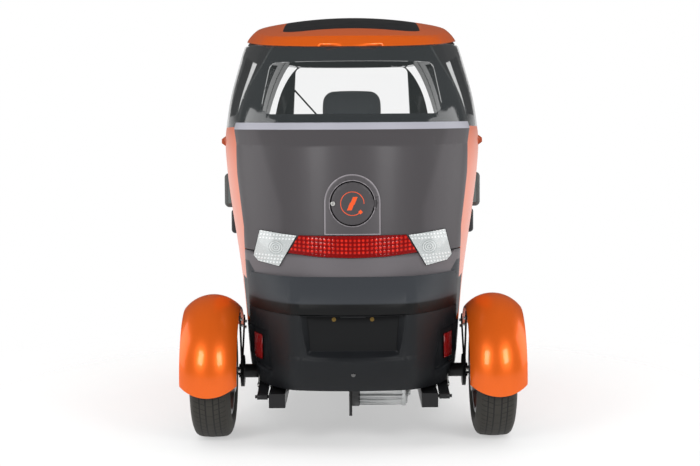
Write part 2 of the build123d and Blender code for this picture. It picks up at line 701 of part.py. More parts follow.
def front_fork():
    """Fork, steerer and handlebar, which turn as one."""
    y, z = FRONT_AXLE_Y, FRONT_AXLE_Z
    crown_y = steer_y(CROWN_Z)
    fork = block(-FORK_X - FORK_LEG_R, FORK_X + FORK_LEG_R, crown_y - 22, crown_y + 22, CROWN_Z - 12, CROWN_Z + 14)
    fork += rod(on_steer(CROWN_Z), on_steer(BAR_Z), STEM_R)
    fork += rod((-FORK_X, y, z), (FORK_X, y, z), FRONT_AXLE_R)
    for side in (-1, 1):
        x = side * FORK_X
        fork += rod((x, crown_y, CROWN_Z), (x, y, z), FORK_LEG_R)
        fork += rod((x - 16, y, z), (x + 16, y, z), 24)
        fork += rod((side * (BAR_HALF - 120), steer_y(BAR_Z), BAR_Z), (side * BAR_HALF, steer_y(BAR_Z), BAR_Z), 16)
    fork += rod((-BAR_HALF, steer_y(BAR_Z), BAR_Z), (BAR_HALF, steer_y(BAR_Z), BAR_Z), 11)
    fork += block(-28, 28, steer_y(BAR_Z) - 20, steer_y(BAR_Z) + 20, BAR_Z - 20, BAR_Z + 20)
    away = Vector(0, crown_y - y, CROWN_Z - z).normalized()
    foot = Vector(0, y, z) + away * (MUDGUARD_R - 2)
    fork += rod(foot, (0, crown_y, CROWN_Z), 12)
    half = MUDGUARD_W / 2
    guard = turned([(-half, MUDGUARD_R - 14), (-half + 12, MUDGUARD_R - 4), (half - 12, MUDGUARD_R - 4),
                    (half, MUDGUARD_R - 14), (half, MUDGUARD_R - 10), (half - 12, MUDGUARD_R),
                    (-half + 12, MUDGUARD_R), (-half, MUDGUARD_R - 10)], 0, 0, 170)
    guard = Pos(0, y, z) * (Rot(-75, 0, 0) * guard)
    save("front_mudguard", guard)
    save("front_fork", fork - guard)


def front_wheel():
    y, z = FRONT_AXLE_Y, FRONT_AXLE_Z
    save("front_tyre", tyre(0, y, z, FRONT_TYRE_R, FRONT_TYRE_W, FRONT_RIM_R))
    rim = turned(rim_barrel(FRONT_TYRE_W, FRONT_RIM_R), y, z)
    bore = FRONT_AXLE_R + RUNNING_FIT
    disc = turned([(-42, bore), (42, bore), (42, 32), (6, 40), (6, FRONT_RIM_R - 5), (-6, FRONT_RIM_R - 5),
                   (-6, 40), (-42, 32)], y, z)
    for place in PolarLocations(84, 8):
        centre = place.position
        disc -= rod((-20, y + centre.X, z + centre.Y), (20, y + centre.X, z + centre.Y), 19)
    save("front_rim", rim + disc)


def seat():
    base = RAIL_Z + RAIL_H + FLOOR_T
    back = SEAT_BACK_Y
    box = block(-215, 215, back, 130, base, SEAT_Z)
    box -= block(-209, 209, back + 6, 124, base, SEAT_Z - 6)
    save("battery_pack", block(-190, 190, back + 30, 100, base, SEAT_Z - 30))
    cushion = block(-225, 225, back + 40, 150, SEAT_Z + 0.3, SEAT_Z + 100)
    save("seat_cushion", fillet(cushion.edges(), 24))
    lean = 85
    top = 1120
    low = SEAT_Z + 100.6
    pad = side_outline([(back + 28, low), (back + 115, low), (back + 115 - lean, top), (back + 40 - lean, top)], -218, 218)
    save("seat_back", fillet(pad.edges(), 22))
    board = side_outline([(back, SEAT_Z), (back + 20, SEAT_Z), (back + 20, low), (back + 33 - lean, top + 20),
                          (back + 25 - lean, top + 20)], -190, 190)
    rest_y = back - lean + 62
    for x in (-60, 60):
        board += rod((x, back + 29 - lean, top + 10), (x, rest_y, top + 70), 6)
    save("seat_frame", box + board)
    rest = block(-121, 121, rest_y - 35, rest_y + 45, top + 40, 1320)
    rest = fillet(rest.edges().filter_by(Axis.Y), 50)
    save("headrest", fillet(rest.edges().group_by(Axis.Y)[0] + rest.edges().group_by(Axis.Y)[-1], 15)
         - rod((-60, back + 29 - lean, top + 10), (-60, rest_y, top + 70), 6.3)
         - rod((60, back + 29 - lean, top + 10), (60, rest_y, top + 70), 6.3))


def dashboard():
    shape = side_outline([(665, 780), (1150, 780), (1150, 880), (960, 890), (700, 880), (665, 860)], -FAR, FAR)
    shape = envelope(WALL) & shape
    shape += block(-110, 110, 668, 740, 860, 925)
    save("dashboard", shape)


def door_hardware():
    """Hinges, handle and mirror of each side."""
    x = hinge_x()
    y = DOOR_FRONT + DOOR_GAP / 2
    fixed = Part()
    moving = Part()
    for z in HINGE_HEIGHTS:
        inner = half_at(y, z) - 10
        fixed += rod((x, y, z - 30), (x, y, z + 30), HINGE_PIN_R)
        for low, high in ((-30, -12), (12, 30)):
            fixed += rod((x, y, z + low), (x, y, z + high), HINGE_R)
            fixed += block(inner, x, y + 4, y + 16, z + low, z + high)
            fixed += block(x - HINGE_R, x, y, y + 16, z + low, z + high)
        knuckle = rod((x, y, z - 11), (x, y, z + 11), HINGE_R)
        knuckle += block(inner, x, y - 16, y - 4, z - 11, z + 11)
        knuckle += block(x - HINGE_R, x, y - 16, y, z - 11, z + 11)
        moving += knuckle - rod((x, y, z - 40), (x, y, z + 40), HINGE_PIN_R + RUNNING_FIT)
    nose = shell(0, WALL, block(0, FAR, DOOR_FRONT + DOOR_GAP, FAR, 0, FAR)) - hinge_room()
    save("door_hinge_pins", *both(fixed - nose))
    leaf = shell(0, WALL, block(0, FAR, -FAR, DOOR_FRONT, 0, FAR)) - hinge_room()
    knuckles = moving - leaf
    z = HANDLE_Z
    edge = half_at(-260, z)
    grip = [(edge - 12, z - 26), (edge + 12, z - 8), (edge + 12, z + 8), (edge - 12, z + 26)]
    handle = fillet(rear_outline(grip, -320, -200).edges().filter_by(Axis.Z), 5)
    save_pair("door_fittings", knuckles + (handle - envelope(0)))

    body = half_at(500, 720)
    pod = fillet(block(body - 25, 567, 455, 545, 668, 782).edges(), 18)
    head = fillet(block(500, 598, 462, 540, 790, 950).edges(), 22)
    neck = block(520, 560, 480, 522, 775, 800)
    save("mirrors", *both((pod + neck + head) - envelope(0)))


def nose_details():
    lamp = rear_outline([(150, 640), (300, 655), (290, 720), (170, 705)], 500, FAR)
    lamps = lamp + mirrored(lamp)
    save("headlamps", shell(-PROUD, 0, lamps))
    foot, tip = Vector(100, 0, 905), Vector(-275, 0, 1340)
    along = (tip - foot).normalized()
    side = Vector(-along.Z, 0, along.X)

    def strip(start, end, width, shift=0):
        corners = [start + side * (shift + width), end + side * (shift + width),
                   end + side * (shift - width), start + side * (shift - width)]
        return rear_outline([(c.X, c.Z) for c in corners], 450, FAR)

    hub = rod((foot.X, 450, foot.Z), (foot.X, FAR, foot.Z), 14)
    blade = strip(foot + along * 160, tip, 4)
    arm = strip(foot, foot + along * 360, 5, 14) + strip(foot, foot + along * 170, 5, 4)
    link = strip(foot + along * 345, foot + along * 360, 10, 7)
    save("wiper", shell(-PROUD, 0, blade + arm + link + hub))


rear_body()
charge_socket()
body_sides()
rockers()
cabin()
roof()
doors()
door_hardware()
bumper()
floor(chassis())
rear_axle()
rear_wheels()
front_fork()
front_wheel()
seat()
dashboard()
nose_details()
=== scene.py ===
import json
from math import cos, pi, radians, sin

import bpy
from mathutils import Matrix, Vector

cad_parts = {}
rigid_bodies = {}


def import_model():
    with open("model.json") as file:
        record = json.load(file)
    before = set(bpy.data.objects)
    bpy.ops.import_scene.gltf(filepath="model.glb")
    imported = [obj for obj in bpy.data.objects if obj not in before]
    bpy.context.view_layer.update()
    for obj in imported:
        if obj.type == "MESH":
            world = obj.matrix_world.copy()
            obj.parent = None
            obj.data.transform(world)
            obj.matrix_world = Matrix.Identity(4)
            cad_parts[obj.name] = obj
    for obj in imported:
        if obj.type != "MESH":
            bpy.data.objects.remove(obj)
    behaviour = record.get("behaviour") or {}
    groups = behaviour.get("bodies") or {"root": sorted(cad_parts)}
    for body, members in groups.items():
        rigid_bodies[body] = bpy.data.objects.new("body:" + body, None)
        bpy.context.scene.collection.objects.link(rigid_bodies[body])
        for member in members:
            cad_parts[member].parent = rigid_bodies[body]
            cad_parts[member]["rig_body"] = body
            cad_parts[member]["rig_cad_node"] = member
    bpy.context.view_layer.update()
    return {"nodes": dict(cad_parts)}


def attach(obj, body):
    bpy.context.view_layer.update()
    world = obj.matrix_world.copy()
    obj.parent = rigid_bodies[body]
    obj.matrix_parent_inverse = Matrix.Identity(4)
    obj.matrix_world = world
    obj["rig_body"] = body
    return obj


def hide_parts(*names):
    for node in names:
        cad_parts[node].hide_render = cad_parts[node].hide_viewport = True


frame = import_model()

# Camera of the photograph: metres, degrees and a share of the frame's width
LENS_MM = 74.9
SENSOR_MM = 36
CAMERA_PLACE = (0.0, -6.34, 1.232)
CAMERA_PITCH = 4.75
CAMERA_ROLL = 0.35
CAMERA_SHIFT = -0.0025

# Base colours, linear
WHITE = (1, 1, 1, 1)
ORANGE = (0.86, 0.135, 0.008)
GREY = (0.064, 0.059, 0.063)
# Painted highlight of the ledge under the tail glass, where it would reflect the overhead light
LEDGE_HIGHLIGHT_GREY = (0.40, 0.40, 0.45)
BLACK_PLASTIC = (0.009, 0.010, 0.0115)
GLOSS_BLACK = (0.008, 0.009, 0.011)
RUBBER = (0.022, 0.020, 0.016)
LENS_RED = (0.20, 0.002, 0.002)
LED_RED = (0.62, 0.02, 0.01)
LAMP_WHITE = (0.60, 0.64, 0.64)
STEEL_BLACK = (0.010, 0.010, 0.011)
ALLOY = (0.40, 0.40, 0.41)
CASTING = (0.55, 0.56, 0.56)
ZINC = (0.62, 0.62, 0.60)
DULL_STEEL = (0.16, 0.16, 0.16)
SILVERED = (0.15, 0.165, 0.16)
BRASS = (0.20, 0.13, 0.04)
MIRROR_GREY = (0.075, 0.082, 0.080)
ROOF_BLACK = (0.008, 0.008, 0.009)
SEAL_BLACK = (0.010, 0.010, 0.010)
# Painted shade under the bumper's shelf and on the floor of its plate recess
PAINTED_SHADE_BLACK = (0.002, 0.002, 0.002)
FABRIC = (0.020, 0.023, 0.027)
MOTIF = (0.85, 0.10, 0.02)

# Places on the car, metres
REAR_WHEEL = (0.53, -0.84, 0.25)
FRONT_WHEEL = (0.0, 0.86, 0.235)
REAR_TYRE_RADIUS = 0.25
FRONT_TYRE_RADIUS = 0.235
FLAP_HEIGHT = 0.901
FLAP_FACE_Y = -1.0737
ARCH_MIDDLE = 0.905
ARCH_HALF = 0.102
ARCH_LOW = 0.788
FLAP_RIM = 0.0835
LAMP_EYE = (0.283, 0.737)
HEADLAMP_EYE = (0.225, 0.68)
LEDGE_START = 1.113
LEDGE_LOW = 1.1685
APRON_TOP = 0.71
PLATE_FLOOR_Y = -1.128
PLATE_MIDDLE = 0.43
SHELF_LOW = 0.548
MOTOR_START = 0.024
MOTOR_MIDDLE = (-0.97, 0.235)
MIRROR_SPLIT = 0.786
HANDLE_BAND = (1.085, 1.145)
DISPLAY_HEIGHT = 0.882
GRIP_AXIS = (0.5633, 0.98)

# The ledge under the glass, drawn up from LEDGE_START: rise and the widening that goes with it
LEDGE_STEPS = ((0.056, 1.016), (0.001, 1.001), (0.024, 0.986), (0.0, 0.955))
SEAL_DROP = 0.014
SEAL_INSET = 0.004
GASKET_WIDTH = 0.0022
GASKET_SETBACK = 0.0036
MERGE_WITHIN = 0.00002
THREAD_PITCH = 0.0016


class Signal:
    """Number on a shader socket. Each operator adds a Math node."""

    def __init__(self, tree, socket):
        self.tree = tree
        self.socket = socket

    def math(self, operation, *others):
        node = self.tree.nodes.new("ShaderNodeMath")
        node.operation = operation
        for slot, value in zip(node.inputs, (self,) + others):
            if isinstance(value, Signal):
                self.tree.links.new(value.socket, slot)
            else:
                slot.default_value = value
        return Signal(self.tree, node.outputs[0])

    def __add__(self, other):
        return self.math("ADD", other)

    def __sub__(self, other):
        return self.math("SUBTRACT", other)

    def __mul__(self, other):
        return self.math("MULTIPLY", other)

    def __rsub__(self, other):
        return self * -1 + other

    def __abs__(self):
        return self.math("ABSOLUTE")

    __radd__ = __add__
    __rmul__ = __mul__

    def above(self, limit):
        return self.math("GREATER_THAN", limit)

    def below(self, limit):
        return self.math("LESS_THAN", limit)

    def within(self, middle, half):
        return abs(self - middle).below(half)

    def wrapped(self):
        return self.math("FRACT")

    def repeats(self, pitch):
        """From -0.5 to 0.5 across each repeat."""
        return (self * (1 / pitch)).wrapped() - 0.5

    def wave(self, pitch):
        return (self * (2 * pi / pitch)).sine()

    def root(self):
        return self.math("SQRT")

    def sine(self):
        return self.math("SINE")

    def highest(self, other):
        return self.math("MAXIMUM", other)

    def ramp(self, low, high):
        """From 0 at low to 1 at high, held at both ends."""
        slope = (self - low) * (1 / (high - low))
        return slope.highest(0.0).math("MINIMUM", 1.0)


def reach(across, up):
    """Distance from the middle, for two offsets."""
    return (across * across + up * up).root()


class Finish:
    """One material: a Principled shader and the nodes that feed it."""

    def __init__(self, name, color, rough, metal=0.0, **constants):
        self.material = bpy.data.materials.new(name)
        self.material.use_nodes = True
        self.tree = self.material.node_tree
        self.shader = self.tree.nodes["Principled BSDF"]
        self.set("Base Color", (*color, 1.0))
        self.set("Roughness", rough)
        self.set("Metallic", metal)
        for socket, value in constants.items():
            self.set(socket.replace("_", " "), value)
        self.place = self.node("ShaderNodeTexCoord", output="Object")

    def set(self, socket, value):
        slot = self.shader.inputs[socket]
        if isinstance(value, Signal):
            self.tree.links.new(value.socket, slot)
        else:
            slot.default_value = value

    def node(self, kind, settings=None, inputs=None, output=0):
        """Adds a node: its settings first, then the values or links of its sockets."""
        made = self.tree.nodes.new(kind)
        for key, value in (settings or {}).items():
            setattr(made, key, value)
        for key, value in (inputs or {}).items():
            if isinstance(value, Signal):
                self.tree.links.new(value.socket, made.inputs[key])
            else:
                made.inputs[key].default_value = value
        return Signal(self.tree, made.outputs[output])

    def noise(self, scale, detail=2.0):
        return self.node("ShaderNodeTexNoise", inputs={
            "Vector": self.place, "Scale": scale, "Detail": detail, "Roughness": 0.5})

    def cells(self, scale, **settings):
        return self.node("ShaderNodeTexVoronoi", settings, {"Vector": self.place, "Scale": scale})

    def axes(self):
        """Place on the piece as three numbers."""
        return [self.node("ShaderNodeSeparateXYZ", inputs={"Vector": self.place}, output=letter)
                for letter in "XYZ"]

    def mix(self, factor, first, second):
        shades = {}
        for slot, shade in ((6, first), (7, second)):
            shades[slot] = shade if isinstance(shade, Signal) else (*shade, 1.0)
        return self.node("ShaderNodeMix", {"data_type": "RGBA"}, {"Factor": factor, **shades}, output=2)

    def bump(self, height, distance):
        self.set("Normal", self.node("ShaderNodeBump", inputs={
            "Height": height, "Distance": distance, "Strength": 1.0}))


def shade_of(color, factor):
    return tuple(min(1.0, c * factor) for c in color)


def paint_layers(finish, color, flake, rough=0.34):
    """Flakes and a slow cloud in the colour coat; gives the finished colour."""
    flakes = finish.noise(1500, 1)
    cloud = finish.noise(3.0, 2)
    finish.set("Roughness", rough - 0.04 + 0.05 * cloud + 0.06 * flakes)
    finish.bump(finish.noise(120, 2), 0.00002)
    return finish.mix(flakes, shade_of(color, 1 - flake), shade_of(color, 1 + flake))


def orange_paint(name):
    """Metallic lacquer: flakes under a clear coat, with a trace of orange peel."""
    finish = Finish(name, ORANGE, 0.34, 0.5, Specular_IOR_Level=0.3, Coat_Weight=0.3, Coat_Roughness=0.05)
    finish.set("Base Color", paint_layers(finish, ORANGE, 0.16))
    return finish.material


def grey_lacquer(name):
    """Satin grey of the tail, before its colour coat."""
    return Finish(name, GREY, 0.5, 0.3, Specular_IOR_Level=0.3, Coat_Weight=0.12, Coat_Roughness=0.25)


def tail_paint(name):
    """Grey lacquer with painted light: paler as a painted highlight on the ledge under the glass and on the
    wings beside the port, and as a painted reflection on the apron.
    """
    finish = grey_lacquer(name)
    coat = paint_layers(finish, GREY, 0.2, 0.52)
    x, y, z = finish.axes()
    hollow = 0.262 + 0.32 * (z - 0.88).highest(0.0)
    # Painted highlight: the wings beside the port are made paler
    wing_highlight = (abs(x) - hollow).ramp(-0.012, 0.012) * z.above(APRON_TOP + 0.01)
    # Painted reflection: the apron is made paler, as if it mirrored the bright floor
    apron = z.ramp(APRON_TOP + 0.01, APRON_TOP - 0.01)
    coat = finish.mix(wing_highlight * 0.35, coat, shade_of(GREY, 1.7))
    coat = finish.mix(apron * 0.55, coat, shade_of(GREY, 3.2))
    # Painted highlight: the ledge under the glass, above LEDGE_LOW, takes a pale grey
    finish.set("Base Color", finish.mix(z.above(LEDGE_LOW), coat, LEDGE_HIGHLIGHT_GREY))
    return finish.material


def flap_paint(name):
    """Grey flap with a printed ring, a bolt and a small plug in orange."""
    finish = grey_lacquer(name)
    coat = paint_layers(finish, GREY, 0.2, 0.52)
    x, y, z = finish.axes()
    up = z - FLAP_HEIGHT
    radius = reach(x, up)
    gap = x.above(0.026) * up.within(-0.014, 0.013)
    ring = radius.within(0.0425, 0.0012) * (1 - gap)
    slant = x - up * 0.42
    upper = slant.within(0.001, 0.0085) * up.within(0.010, 0.014) * (x + up * 0.9).above(-0.006)
    lower = slant.within(-0.001, 0.0085) * up.within(-0.010, 0.014) * (x + up * 0.9).below(0.006)
    plug = (abs(x - 0.0295) + abs(up + 0.0305)).below(0.0085)
    print_mask = ring.highest(upper).highest(lower).highest(plug)
    finish.set("Base Color", finish.mix(print_mask, coat, MOTIF))
    return finish.material


def surround_paint(name):
    """Grey arch round the flap, with painted highlights where its rounded edges and the rim of the opening
    would catch the light.
    """
    finish = grey_lacquer(name)
    coat = paint_layers(finish, shade_of(GREY, 1.2), 0.2, 0.5)
    x, y, z = finish.axes()
    crown = reach(x, (z - ARCH_MIDDLE).highest(0.0))
    rim = reach(x, z - FLAP_HEIGHT)
    arch_edge_highlight = crown.ramp(ARCH_HALF - 0.006, ARCH_HALF - 0.002)
    low_edge_highlight = z.ramp(ARCH_LOW + 0.005, ARCH_LOW + 0.002)
    edge = arch_edge_highlight.highest(low_edge_highlight).highest(rim.ramp(FLAP_RIM + 0.002, FLAP_RIM))
    # Painted highlight: the arch's outline, its low edge and the rim of the opening are made paler
    finish.set("Base Color", finish.mix(edge * 0.7, coat, shade_of(GREY, 5.5)))
    return finish.material


def grained_plastic(name, color, rough=0.5, grain=900, depth=0.0001):
    """Moulded black plastic with a fine leather-like grain."""
    finish = Finish(name, color, rough, Specular_IOR_Level=0.3)
    cloud = finish.noise(9, 3)
    finish.set("Roughness", rough - 0.05 + 0.1 * cloud)
    finish.set("Base Color", finish.mix(cloud, color, shade_of(color, 1.4)))
    finish.bump(finish.cells(grain), depth)
    return finish.material


def bumper_plastic(name):
    """Fine-grained black with painted light: a painted highlight on the shelf, and painted shade under it
    and on the floor of the plate recess.
    """
    finish = Finish(name, BLACK_PLASTIC, 0.46, Specular_IOR_Level=0.2)
    x, y, z = finish.axes()
    cloud = finish.noise(9, 3)
    recess = y.above(PLATE_FLOOR_Y - 0.004) * z.within(PLATE_MIDDLE, 0.075) * abs(x).below(0.175)
    shade = finish.mix(cloud, BLACK_PLASTIC, shade_of(BLACK_PLASTIC, 1.4))
    # Painted highlight: everything above SHELF_LOW is made four times paler
    shade = finish.mix(z.ramp(SHELF_LOW - 0.003, SHELF_LOW + 0.003), shade, shade_of(BLACK_PLASTIC, 4.0))
    # Painted shade in the band just under the shelf
    shade = finish.mix(z.within(SHELF_LOW - 0.024, 0.021) * 0.8, shade, PAINTED_SHADE_BLACK)
    # Painted shade on the floor of the plate recess
    finish.set("Base Color", finish.mix(recess * 0.6, shade, PAINTED_SHADE_BLACK))
    finish.set("Roughness", 0.42 + 0.1 * cloud + 0.15 * recess)
    finish.bump(finish.cells(1400), 0.00006)
    return finish.material


def motor_metal(name):
    """Die-cast motor; the hanger at its left end is painted black."""
    finish = Finish(name, CASTING, 0.42, 0.95)
    x, y, z = finish.axes()
    cloud = finish.noise(30, 4)
    hanger = x.below(MOTOR_START)
    finish.set("Base Color", finish.mix(hanger, CASTING, STEEL_BLACK))
    finish.set("Metallic", 0.95 * (1 - hanger))
    finish.set("Roughness", 0.32 + 0.22 * cloud)
    finish.bump(finish.noise(300, 3), 0.0001)
    return finish.material


def gloss_plastic(name):
    """Polished black of the window frames, with a faint smear."""
    finish = Finish(name, GLOSS_BLACK, 0.07, Coat_Weight=0.5, Coat_Roughness=0.03)
    finish.set("Roughness", 0.07 + 0.05 * finish.noise(6, 3))
    return finish.material


def mirror_shell(name):
    """Mirror: matte grey head over a gloss black pod."""
    finish = Finish(name, GLOSS_BLACK, 0.1)
    x, y, z = finish.axes()
    head = z.above(MIRROR_SPLIT)
    cloud = finish.noise(12, 3)
    finish.set("Base Color", finish.mix(head, GLOSS_BLACK, MIRROR_GREY))
    finish.set("Roughness", 0.10 + 0.38 * head + 0.05 * cloud)
    return finish.material


def handle_paint(name):
    """Hinges in black steel and the grip in body colour darkened as painted shade, by height."""
    finish = Finish(name, STEEL_BLACK, 0.35)
    x, y, z = finish.axes()
    grip = z.within(sum(HANDLE_BAND) / 2, (HANDLE_BAND[1] - HANDLE_BAND[0]) / 2)
    cloud = finish.noise(20, 3)
    # Painted shade: the grip is the body orange darkened to less than half
    finish.set("Base Color", finish.mix(grip, STEEL_BLACK, shade_of(ORANGE, 0.45)))
    finish.set("Roughness", 0.30 + 0.1 * cloud)
    return finish.material


def tread_rubber(name, wheel, radius):
    """Tyre rubber: grooves round the tread, slots across it, ribs and dust on the wall; the grooves and
    slots are darkened as painted shade.
    """
    finish = Finish(name, RUBBER, 0.75)
    x, y, z = finish.axes()
    across, along, up = x - wheel[0], y - wheel[1], z - wheel[2]
    far = reach(along, up)
    turn = up.math("ARCTAN2", along) * (1 / (2 * pi))
    on_tread = far.above(radius - 0.010)
    grooves = across.within(0.014, 0.0028).highest(across.within(-0.014, 0.0028))
    grooves = grooves.highest(abs(across).within(0.036, 0.0024))
    slots = (turn * 68 + abs(across) * 16).wrapped().below(0.16) * abs(across).above(0.016)
    fine = (turn * 136 - abs(across) * 20).wrapped().below(0.10) * abs(across).above(0.038)
    centre = (turn * 34).wrapped().below(0.07) * abs(across).below(0.012)
    cut = grooves.highest(slots * 0.75).highest(fine * 0.5).highest(centre * 0.6) * on_tread
    ribs = far.wave(0.007) * far.within(radius - 0.055, 0.014) * 0.12
    dust = finish.noise(24, 4)
    worn = finish.mix(dust, RUBBER, shade_of(RUBBER, 1.9))
    # Painted shade: the grooves and slots are darkened to a quarter of the rubber
    finish.set("Base Color", finish.mix(cut, worn, shade_of(RUBBER, 0.25)))
    finish.set("Roughness", 0.62 + 0.2 * dust)
    finish.bump(ribs - cut + 0.02 * finish.noise(600, 2), 0.006)
    return finish.material


def painted_steel(name, color=STEEL_BLACK, rough=0.36):
    """Black paint, unevenly matte, on a slightly rough ground."""
    finish = Finish(name, color, rough, Specular_IOR_Level=0.3)
    cloud = finish.noise(18, 4)
    finish.set("Roughness", rough - 0.08 + 0.18 * cloud)
    finish.bump(finish.noise(260, 2), 0.00006)
    return finish.material


def wheel_alloy(name):
    """Cast rim with a fine grain."""
    finish = Finish(name, ALLOY, 0.38, 0.95)
    finish.set("Roughness", 0.28 + 0.22 * finish.noise(30, 4))
    finish.bump(finish.noise(420, 3), 0.0001)
    return finish.material


def bright_metal(name, color, rough):
    """Bare or plated metal with a slow change of polish."""
    finish = Finish(name, color, rough, 1.0)
    finish.set("Roughness", rough + 0.1 * finish.noise(60, 3))
    return finish.material


def tinted_glass(name, tint, alpha):
    """Pane seen through its tint, with a thin film of haze."""
    finish = Finish(name, tint, 0.02, Specular_IOR_Level=0.15)
    haze = finish.noise(4, 3)
    finish.set("Alpha", alpha + 0.02 * haze)
    finish.set("Roughness", 0.015 + 0.02 * haze)
    return finish.material


def led_bar(name):
    """Red light bar: rows of lit cells in groups, behind a finely ribbed lens."""
    finish = Finish(name, LENS_RED, 0.12, Specular_IOR_Level=0.3, Coat_Weight=0.2, Coat_Roughness=0.03)
    x, y, z = finish.axes()
    bow = z - x * x * 0.22
    cell = 1 - reach(x.repeats(0.0155), (bow - 0.7165).repeats(0.0145)).ramp(0.16, 0.42)
    in_group = x.repeats(0.062)
    group = in_group * in_group * 4
    lane = bow.within(0.760, 0.0145).highest(bow.within(0.731, 0.0145))
    star = cell * lane * (1 - 0.6 * group)
    rib = x.wave(0.006)
    finish.set("Base Color", finish.mix(star, LENS_RED, LED_RED))
    finish.set("Emission Color", finish.mix(star, (0.02, 0.0, 0.0), (0.9, 0.03, 0.01)))
    finish.set("Emission Strength", 0.2)
    finish.bump(cell * 0.5 + rib * 0.05, 0.0006)
    return finish.material


def lamp_lens(name, eye):
    """Clear lamp: rings round a reflector bowl, beads along its edges and a faceted lens."""
    finish = Finish(name, LAMP_WHITE, 0.07, 0.0, Coat_Weight=0.8, Coat_Roughness=0.03)
    x, y, z = finish.axes()
    side, up = abs(x) - eye[0], z - eye[1]
    far = reach(side, up * 1.15)
    rings = far.wave(0.0085) * (1 - far.ramp(0.026, 0.034))
    bead = 1 - reach((side + up * 0.25).repeats(0.0125), (up - 0.001).repeats(0.0125)).ramp(0.20, 0.36)
    edge = far.above(0.034)
    facet = finish.cells(150, feature="DISTANCE_TO_EDGE")
    rim_row = abs(up - side * 0.06).above(0.026)
    shade = finish.mix(edge * 0.35, LAMP_WHITE, (0.22, 0.24, 0.24))
    shade = finish.mix(bead * edge * rim_row * 0.8, shade, (0.85, 0.88, 0.88))
    shade = finish.mix((rings * 0.5 + 0.5) * (1 - edge) * 0.7, shade, (0.12, 0.14, 0.14))
    shade = finish.mix(facet.below(0.06) * 0.25, shade, (0.9, 0.92, 0.92))
    finish.set("Base Color", shade)
    finish.bump(rings * 0.3 + bead * edge * rim_row + facet * 0.6, 0.0008)
    return finish.material


def reflector_lens(name):
    """Red reflector with a moulded grid of prisms."""
    finish = Finish(name, (0.23, 0.003, 0.003), 0.1, Coat_Weight=0.8, Coat_Roughness=0.04)
    x, y, z = finish.axes()
    grid = x.wave(0.005) * z.wave(0.005)
    finish.set("Base Color", finish.mix(grid * 0.5 + 0.5, (0.26, 0.003, 0.003), (0.52, 0.010, 0.010)))
    finish.bump(grid, 0.0008)
    return finish.material


def woven_fabric(name):
    """Plain weave from two crossed waves, with a little fuzz."""
    finish = Finish(name, FABRIC, 0.85, Sheen_Weight=0.3, Sheen_Roughness=0.5)
    x, y, z = finish.axes()
    weave = x.wave(THREAD_PITCH) * (y + z).wave(THREAD_PITCH)
    fuzz = finish.noise(900, 2)
    finish.set("Base Color", finish.mix(weave * 0.3 + 0.35 + 0.3 * fuzz, FABRIC, shade_of(FABRIC, 2.2)))
    finish.bump(weave * 0.5 + fuzz, 0.0004)
    return finish.material


def display_face(name):
    """Dark instrument display with a pale arc and bars."""
    finish = Finish(name, (0.004, 0.005, 0.006), 0.08)
    x, y, z = finish.axes()
    up = z - DISPLAY_HEIGHT
    dial = reach(x, up).within(0.020, 0.0015) * up.above(-0.006)
    bars = (abs(x) * 90).wrapped().below(0.6) * abs(x).within(0.055, 0.018) * up.within(0.006, 0.006)
    finish.set("Emission Color", finish.mix(dial.highest(bars), (0.0, 0.0, 0.0), (0.25, 0.6, 0.7)))
    finish.set("Emission Strength", 0.8)
    return finish.material


MATERIALS = {
    "orange": orange_paint("orange_paint"),
    "grey": tail_paint("grey_tail_paint"),
    "surround": surround_paint("grey_port_paint"),
    "flap": flap_paint("grey_flap_paint"),
    "plastic": grained_plastic("black_grained_plastic", BLACK_PLASTIC),
    "bumper": bumper_plastic("bumper_plastic"),
    "gloss": gloss_plastic("gloss_black"),
    "roof_black": painted_steel("roof_panel_black", ROOF_BLACK, 0.42),
    "mirror": mirror_shell("mirror_shell"),
    "handle": handle_paint("handle_and_hinge"),
    "rear_tread_right": tread_rubber("rear_tread_right", REAR_WHEEL, REAR_TYRE_RADIUS),
    "rear_tread_left": tread_rubber("rear_tread_left", (-REAR_WHEEL[0], *REAR_WHEEL[1:]), REAR_TYRE_RADIUS),
    "front_tread": tread_rubber("front_tread", FRONT_WHEEL, FRONT_TYRE_RADIUS),
    "seal": grained_plastic("rubber_seal", SEAL_BLACK, 0.6, 500, 0.00005),
    "steel": painted_steel("black_painted_steel"),
    "alloy": wheel_alloy("wheel_alloy"),
    "motor": motor_metal("motor_casting"),
    "zinc": bright_metal("zinc_plated_steel", ZINC, 0.26),
    "brass": bright_metal("passivated_screw", BRASS, 0.3),
    "dull_steel": bright_metal("dull_steel", DULL_STEEL, 0.35),
    "mirror_glass": bright_metal("mirror_glass", SILVERED, 0.02),
    "glass": tinted_glass("side_glass", (0.10, 0.105, 0.105), 0.26),
    "screen": tinted_glass("clear_glass", (0.30, 0.34, 0.34), 0.06),
    "red": led_bar("red_light_bar"),
    "reflector": reflector_lens("red_reflector"),
    "clear": lamp_lens("rear_lamp_lens", LAMP_EYE),
    "headlamp": lamp_lens("headlamp_lens", HEADLAMP_EYE),
    "fabric": woven_fabric("seat_fabric"),
    "display": display_face("instrument_display"),
}

